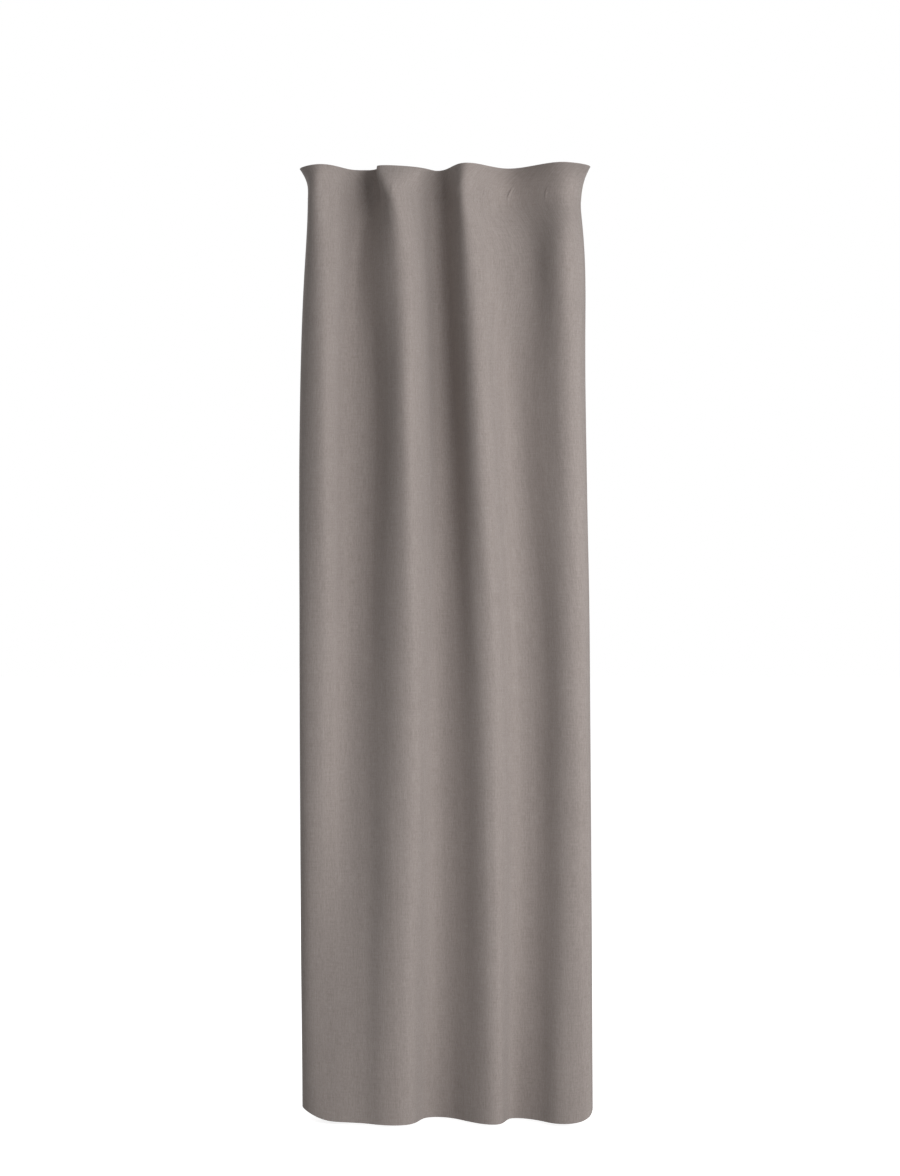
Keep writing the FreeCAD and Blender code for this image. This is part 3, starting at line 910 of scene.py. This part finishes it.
def bandPattern(width, height, rise, shoulder, thickness, steps):
    # a woven band sewn down at both ends and standing off the tape between them
    bpy.ops.object.select_all(action="DESELECT")
    bpy.ops.mesh.primitive_grid_add(x_subdivisions=steps, y_subdivisions=2, size=1)
    piece = bpy.context.object
    spots = pointsOf(piece.data)
    free = np.clip((1 - np.abs(spots[:, 0]) * 2) / shoulder, 0, 1)
    spots[:, 2] = rise * eased(free, 0, 1)
    spots[:, 0] *= width
    spots[:, 1] *= height * (1 - 0.06 * free)
    movePoints(piece, spots)
    thick = piece.modifiers.new("thickness", "SOLIDIFY")
    thick.thickness, thick.offset = thickness, 0
    soft = piece.modifiers.new("edge", "BEVEL")
    soft.width, soft.segments, soft.limit_method = thickness * 0.28, 1, "ANGLE"
    bpy.context.view_layer.objects.active = piece
    bpy.ops.object.modifier_apply(modifier="thickness")
    bpy.ops.object.modifier_apply(modifier="edge")
    return piece


hooksAt = {"a": -0.322, "b": -0.202, "c": -0.016, "d": 0.172, "e": 0.322}
pockets = {"row": 0.071, "width": 0.014, "height": 0.006, "band": -0.00645, "rise": 0.0041,
           "shoulder": 0.40, "thickness": 0.0006, "soleWidth": 0.0024,
           "spareWidth": 0.009, "spareHeight": 0.0052, "spareRise": 0.0009, "sparePitch": 0.0385,
           "spareRows": (0.036, 0.0535, 0.0705), "spareClear": 0.014,
           "barPitch": 0.0135, "barWidth": 0.0021, "barHeight": 0.0038, "barRise": 0.0016}
cords = {"upper": 0.022, "lower": 0.079, "radius": 0.0007, "ends": 0.012, "lift": 0.00215, "sides": 8,
         "steps": 460, "sway": 0.00025, "knotAt": 0.0094, "knotSize": 0.00068, "knotLift": 0.0009}


def makeSparePockets():
    # the woven pockets that hold no hook, and the small bars that hold the draw cords
    spare = bandPattern(pockets["spareWidth"], pockets["spareHeight"], pockets["spareRise"], 0.5, 0.0005, 6)
    bar = bandPattern(pockets["barHeight"], pockets["barWidth"], pockets["barRise"], 0.8, 0.0004, 6)
    used = [acrossAt(x, pockets["row"]) for x in hooksAt.values()]
    onTape = tape["lift"] + tape["thickness"] / 2 + 0.0001
    places = [(a, down, onTape, False) for down in pockets["spareRows"]
              for a in span(0.022, cloth["width"] - 0.010, pockets["sparePitch"])
              if down < pockets["spareRows"][2] or min(abs(a - u) for u in used) > pockets["spareClear"]]
    bars = [(a, cords[row], onTape, True) for row in ("upper", "lower")
            for a in span(0.020, cloth["width"] - 0.014, pockets["barPitch"])]
    piece = sewOn("sparePockets", [(spare, places), (bar, bars)], wovenTape)
    setAside(spare)
    setAside(bar)
    print("spare pockets woven in:", len(places), "pockets,", len(bars), "bars")
    return piece


def tubeAlong(name, path, radius, finish):
    # a round tube along points, closed at both ends, its UV map in metres round and along
    sides = cords["sides"]
    along = np.gradient(path, axis=0)
    along /= np.linalg.norm(along, axis=1, keepdims=True)
    side = np.cross(along[0], (0.3, 0.2, 0.93))
    rings, reach = [], np.concatenate([[0], np.cumsum(np.linalg.norm(np.diff(path, axis=0), axis=1))])
    for point, direction in zip(path, along):
        side = side - direction * np.dot(side, direction)
        side /= np.linalg.norm(side)
        up = np.cross(direction, side)
        angle = np.linspace(0, 2 * math.pi, sides, endpoint=False)[:, None]
        rings.append(point + radius * (np.cos(angle) * side + np.sin(angle) * up))
    count = len(path)
    faces = [tuple((i + p) * sides + (j + q) % sides for p, q in ((0, 0), (0, 1), (1, 1), (1, 0)))
             for i in range(count - 1) for j in range(sides)]
    faces += [tuple(range(sides))[::-1], tuple((count - 1) * sides + j for j in range(sides))]
    ring = np.abs(np.linspace(-1, 1, sides, endpoint=False)) * math.pi * radius
    flat = np.stack([np.tile(ring, count), np.repeat(reach, sides)], 1)
    return newPiece(name, rings, faces, flat, finish, 60)


def makeDrawCord(name, down):
    across = np.linspace(cords["ends"], cloth["width"] - cords["ends"], cords["steps"])
    down = down + cords["sway"] * np.sin(across * 95)  # it isn't quite straight in the tape
    return tubeAlong(name, onCloth(across, down, cords["lift"]), cords["radius"], braidedCord)


def makeCordKnot(name, across, down):
    # an overhand knot drawn up tight, with a short end of cord
    middle = onCloth(across, down, cords["lift"] + cords["knotLift"])
    turn = np.linspace(0, 2 * math.pi, 60)
    knot = np.stack([np.sin(turn) + 2 * np.sin(2 * turn), -0.9 * np.sin(3 * turn),
                     np.cos(turn) - 2 * np.cos(2 * turn)], 1) * cords["knotSize"]
    end = np.linspace(0, 1, 9)[1:, None]
    tail = knot[-1] + end * np.array([0.2, 0.1, -1.0]) * 0.0042 + end ** 2 * np.array([0.0010, 0.0004, 0])
    path = middle + np.concatenate([knot[:-1], tail])
    return tubeAlong(name, path, cords["radius"] * 0.94, braidedCord)


label = {"edge": 0.0283, "width": 0.028, "top": 2.155, "depth": 0.052, "thickness": 0.00025,
         "lift": 0.0003, "curl": 0.0034, "wave": 0.0004}


def makeCareLabel():
    acrossLines = [label["edge"] + q for q in np.linspace(0, label["width"], 19)]
    downLines = [label["top"] + q for q in np.linspace(0, label["depth"], 27)]
    sheet, flat = flatSheet("careLabel", acrossLines, downLines)
    out = (flat[:, 0] - label["edge"]) / label["width"]
    along = (flat[:, 1] - label["top"]) / label["depth"]
    lift = label["lift"] + label["curl"] * out ** 1.8 * (0.75 + 0.35 * np.sin(along * 4.2 + 0.4))
    lift += label["wave"] * out * np.sin(along * 11)
    hang(sheet, onCloth(flat[:, 0], flat[:, 1], lift))
    clothed(sheet, label["thickness"], satinRibbon)
    print("care label sewn in")
    return sheet


def makeHookPocket(name, x):
    # a raised woven band on the tape, open above and below, for one hook
    piece = bandPattern(pockets["width"], pockets["height"], pockets["rise"], pockets["shoulder"],
                        pockets["thickness"], 16)
    piece.name = piece.data.name = name
    spots = pointsOf(piece.data)
    mapCut(piece.data, spots[:, :2] + (x, 0))
    # the two outer pockets stand on the tape's ends, on the outside of the cloth
    if abs(x) > 0.3:
        side, lift = -1, tape["outside"] - tape["thickness"] - spots[:, 2]
    else:
        side, lift = 1, tape["lift"] + tape["thickness"] + spots[:, 2]
    onTape = onCloth(acrossAt(x, pockets["row"]) + side * spots[:, 0], pockets["row"] - spots[:, 1], lift)
    standing = np.stack([x + spots[:, 0], pockets["band"] + spots[:, 2] - pockets["rise"],
                         drape["topRise"] - pockets["row"] + spots[:, 1]], 1)
    free = 0.5 * pockets["width"] - np.abs(spots[:, 0])
    spots = onTape + (standing - onTape) * eased(free, 0, pockets["soleWidth"])[:, None]
    movePoints(piece, spots)
    pickOnly(piece)
    edit()
    bpy.ops.mesh.normals_make_consistent(inside=False)
    finishEdit()
    smoothed(piece, 50)
    piece.data.materials.append(wovenTape)
    return piece


# the leg below the crook is drawn down in steps, each with its scale, round a small collar
hook = {"rod": 0.00105, "flat": 0.86, "crook": 0.0044, "tail": 0.005, "bendY": -0.00645,
        "bendZ": -0.0338, "prong": 0.0078, "tip": 0.0012, "blunt": 0.0015,
        "leg": ((-0.0100, 1.0), (-0.0004, 1.16), (-0.0042, 1.0), (-0.0004, 1 / 1.16), (-0.0050, 1.0))}


def makeCurtainHook(name, x):
    # a moulded hook: tail, crook over the rail's eye, long leg, bend, and the prong in the pocket
    bpy.ops.object.select_all(action="DESELECT")
    start = (x, hook["crook"], -hook["tail"])
    bpy.ops.mesh.primitive_circle_add(vertices=8, radius=hook["rod"], fill_type="NGON",
                                      location=start, rotation=(0, 0, math.pi / 8))
    bpy.ops.object.transform_apply(location=True, rotation=True)
    piece = bpy.context.object
    piece.name = piece.data.name = name

    def grow(distance, scale=1.0):
        bpy.ops.mesh.extrude_region_move(TRANSFORM_OT_translate={"value": (0, 0, distance)})
        if scale != 1.0:
            picked = [v.co for v in bmesh.from_edit_mesh(piece.data).verts if v.select]
            centre = sum(picked, Vector()) / len(picked)
            bpy.ops.transform.resize(value=(scale, scale, 1), center_override=centre)

    edit()
    bpy.ops.transform.resize(value=(0.62, 0.62, 1), center_override=start)
    grow(hook["blunt"] * 0.4, 1.45)
    grow(hook["blunt"] * 0.6, 1.11)
    grow(hook["tail"] - hook["blunt"])
    bpy.ops.mesh.spin(steps=12, angle=-math.pi, center=(x, 0, 0), axis=(1, 0, 0))
    for distance, scale in hook["leg"]:
        grow(distance, scale)
    grow(hook["bendZ"] - sum(distance for distance, scale in hook["leg"]))
    bpy.ops.mesh.spin(steps=10, angle=math.pi, center=(x, hook["bendY"], hook["bendZ"]), axis=(1, 0, 0))
    grow(hook["prong"])
    grow(hook["tip"] * 0.6, 0.82)
    grow(hook["tip"] * 0.4, 0.55)
    bpy.ops.mesh.select_all(action="SELECT")
    bpy.ops.mesh.remove_doubles(threshold=0.00001)
    bpy.ops.mesh.normals_make_consistent(inside=False)
    finishEdit()
    spots = pointsOf(piece.data)
    spots[:, 0] = x + (spots[:, 0] - x) * hook["flat"]
    movePoints(piece, spots)
    rounder = piece.modifiers.new("rounder", "SUBSURF")
    rounder.levels = rounder.render_levels = 1
    bpy.ops.object.modifier_apply(modifier="rounder")
    smoothed(piece)
    piece.data.materials.append(hookPlastic)
    return piece


def drawn(piece, slot, *nodes):
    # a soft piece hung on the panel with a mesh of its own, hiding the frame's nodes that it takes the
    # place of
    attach(piece, "panel")
    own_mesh(piece)
    if nodes:
        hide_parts(*nodes)


curtainCloth, clothCut = makeCurtainCloth()
drawn(curtainCloth, "cloth", "face_cloth", "heading_turn", "side_hem_left", "side_hem_right", "bottom_hem")

headingTape, tapeCut = makeHeadingTape()
drawn(headingTape, "tape", "heading_tape")

careLabel = makeCareLabel()
drawn(careLabel, "label", "care_label")

for name, row in makeStitches().items():
    nodeName = "".join("_" + letter.lower() if letter.isupper() else letter for letter in name)
    drawn(row, "thread", nodeName)

drawn(makeSparePockets(), "tape")

for row in ("upper", "lower"):
    drawn(makeDrawCord("drawCord" + row.title(), cords[row]), "cord", "draw_cord_" + row)
    for side, across, body in (("left", cords["knotAt"], "panel"),
                               ("right", cloth["width"] - cords["knotAt"], "pocket_e")):
        knot = makeCordKnot("cordKnot" + row.title() + side.title(), across, cords[row])
        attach(knot, body)
        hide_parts("cord_knot_" + row + "_" + side)
print("draw cords laid and knotted")

for letter, x in hooksAt.items():
    pocket = makeHookPocket("hookPocket" + letter.upper(), x)
    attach(pocket, "panel" if letter == "a" else "pocket_" + letter)
    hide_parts("hook_pocket_" + letter)
    moulded = makeCurtainHook("curtainHook" + letter.upper(), x)
    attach(moulded, "hook_" + letter)
    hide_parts("curtain_hook_" + letter)
print("pockets and hooks in place")
